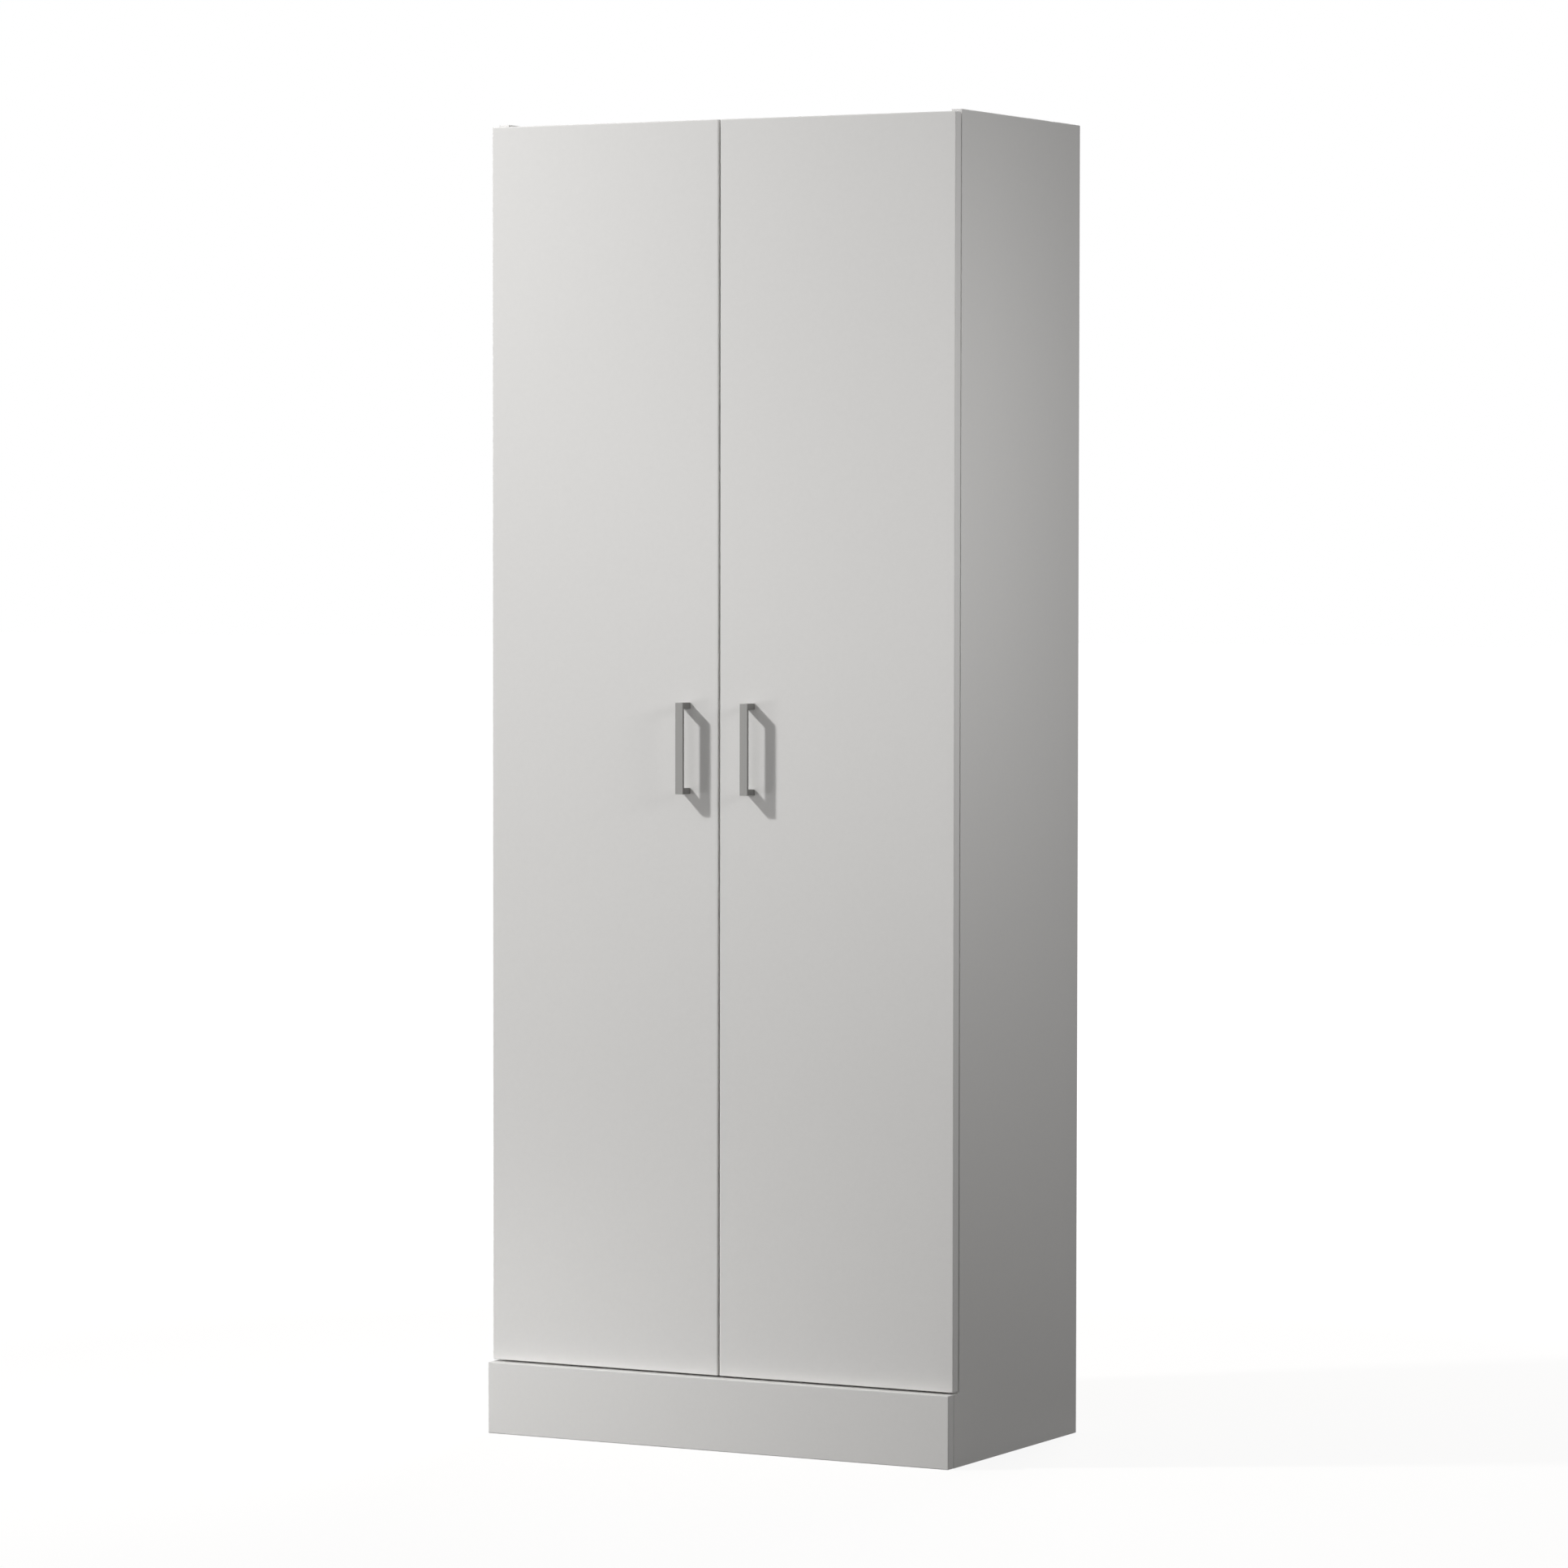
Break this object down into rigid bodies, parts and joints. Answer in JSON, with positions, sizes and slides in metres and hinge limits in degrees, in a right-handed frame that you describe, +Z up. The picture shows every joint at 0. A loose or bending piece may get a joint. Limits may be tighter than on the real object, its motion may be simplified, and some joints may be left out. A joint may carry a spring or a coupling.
{
  "type": "tall storage cabinet",
  "caption": "Tall white storage cabinet with full-overlay hinged doors, flat bar handles, a proud plinth, and fixed and loose shelves inside.",
  "frame": {"origin": "on the floor, below the middle of the whole object's box, handles included", "axes": "+Z up, -Y the front with the doors and handles, +X to the right of someone who faces the front"},
  "size_m": [0.71, 0.402, 1.8],
  "materials": {
    "white_board": "white melamine on chipboard, satin, with a faint fine grain",
    "white_hardboard": "thin hardboard, white lacquer on the inside face and bare brown behind",
    "white_plastic": "white extruded plastic",
    "satin_nickel": "satin nickel plate, finely brushed",
    "zinc_plate": "bright zinc plate on steel",
    "clear_bumper": "soft translucent plastic"
  },
  "bodies": {
    "carcase": {"left_side_panel": "white_board", "right_side_panel": "white_board", "top_panel": "white_board", "bottom_panel": "white_board", "fixed_shelf": "white_board", "adjustable_shelf_1": "white_board", "adjustable_shelf_2": "white_board", "adjustable_shelf_3": "white_board", "plinth_board": "white_board", "rear_plinth_rail": "white_board", "lower_back_panel": "white_hardboard", "upper_back_panel": "white_hardboard", "back_joining_strip": "white_plastic", "wall_bracket": "zinc_plate", "shelf_1_pin_left_front": "zinc_plate", "shelf_1_pin_left_rear": "zinc_plate", "shelf_1_pin_right_front": "zinc_plate", "shelf_1_pin_right_rear": "zinc_plate", "shelf_2_pin_left_front": "zinc_plate", "shelf_2_pin_left_rear": "zinc_plate", "shelf_2_pin_right_front": "zinc_plate", "shelf_2_pin_right_rear": "zinc_plate", "shelf_3_pin_left_front": "zinc_plate", "shelf_3_pin_left_rear": "zinc_plate", "shelf_3_pin_right_front": "zinc_plate", "shelf_3_pin_right_rear": "zinc_plate", "left_upper_hinge_arm": "zinc_plate", "left_middle_hinge_arm": "zinc_plate", "left_lower_hinge_arm": "zinc_plate", "right_upper_hinge_arm": "zinc_plate", "right_middle_hinge_arm": "zinc_plate", "right_lower_hinge_arm": "zinc_plate", "left_upper_hinge_plate": "zinc_plate", "left_middle_hinge_plate": "zinc_plate", "left_lower_hinge_plate": "zinc_plate", "right_upper_hinge_plate": "zinc_plate", "right_middle_hinge_plate": "zinc_plate", "right_lower_hinge_plate": "zinc_plate"},
    "left_door": {"left_door": "white_board", "left_door_bumper": "clear_bumper", "left_handle": "satin_nickel", "left_handle_upper_screw": "zinc_plate", "left_handle_lower_screw": "zinc_plate", "left_upper_hinge_cup": "zinc_plate", "left_middle_hinge_cup": "zinc_plate", "left_lower_hinge_cup": "zinc_plate", "left_upper_hinge_pin": "zinc_plate", "left_middle_hinge_pin": "zinc_plate", "left_lower_hinge_pin": "zinc_plate"},
    "right_door": {"right_door": "white_board", "right_door_bumper": "clear_bumper", "right_handle": "satin_nickel", "right_handle_upper_screw": "zinc_plate", "right_handle_lower_screw": "zinc_plate", "right_upper_hinge_cup": "zinc_plate", "right_middle_hinge_cup": "zinc_plate", "right_lower_hinge_cup": "zinc_plate", "right_upper_hinge_pin": "zinc_plate", "right_middle_hinge_pin": "zinc_plate", "right_lower_hinge_pin": "zinc_plate"}
  },
  "joints": [
    {"name": "left_door_swing", "type": "hinge", "parent": "carcase", "child": "left_door", "pos_m": [-0.348, -0.1714, 0.9485], "axis": [0, 0, -1], "range_deg": [0, 95]},
    {"name": "right_door_swing", "type": "hinge", "parent": "carcase", "child": "right_door", "pos_m": [0.348, -0.1714, 0.9485], "axis": [0, 0, 1], "range_deg": [0, 95]}
  ]
}
